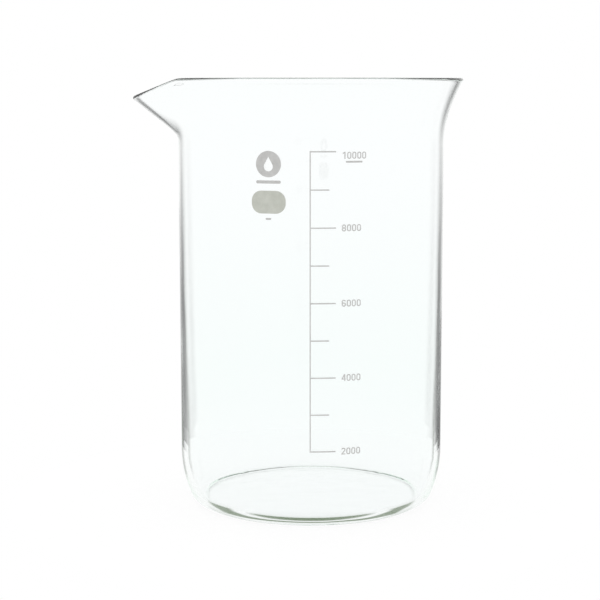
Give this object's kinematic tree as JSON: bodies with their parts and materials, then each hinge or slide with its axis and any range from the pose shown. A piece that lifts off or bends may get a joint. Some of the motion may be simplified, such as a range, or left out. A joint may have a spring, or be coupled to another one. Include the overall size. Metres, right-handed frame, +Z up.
{
  "type": "laboratory beaker",
  "caption": "Large low-form glass beaker with a flared rim, a pouring spout, a printed volume scale and a field to write on.",
  "frame": {"origin": "on the vessel's axis, in the plane of the ring that it stands on", "axes": "+Z up along the vessel's axis; the spout points along -X; the printed scale faces -Y"},
  "size_m": [0.2692, 0.2476, 0.35],
  "materials": {
    "glass": "clear borosilicate glass, fire polished",
    "scale_enamel": "fired white enamel, satin",
    "mark_enamel": "fired white enamel, satin",
    "spot_enamel": "fired white enamel, satin"
  },
  "bodies": {
    "root": {"glass_vessel": "glass", "graduation_scale": "scale_enamel", "numeral_10000": "scale_enamel", "numeral_8000": "scale_enamel", "numeral_6000": "scale_enamel", "numeral_4000": "scale_enamel", "numeral_2000": "scale_enamel", "emblem_disc": "mark_enamel", "emblem_bar": "mark_enamel", "marking_spot": "spot_enamel", "batch_bar": "mark_enamel", "note_bar": "mark_enamel"}
  },
  "joints": []
}
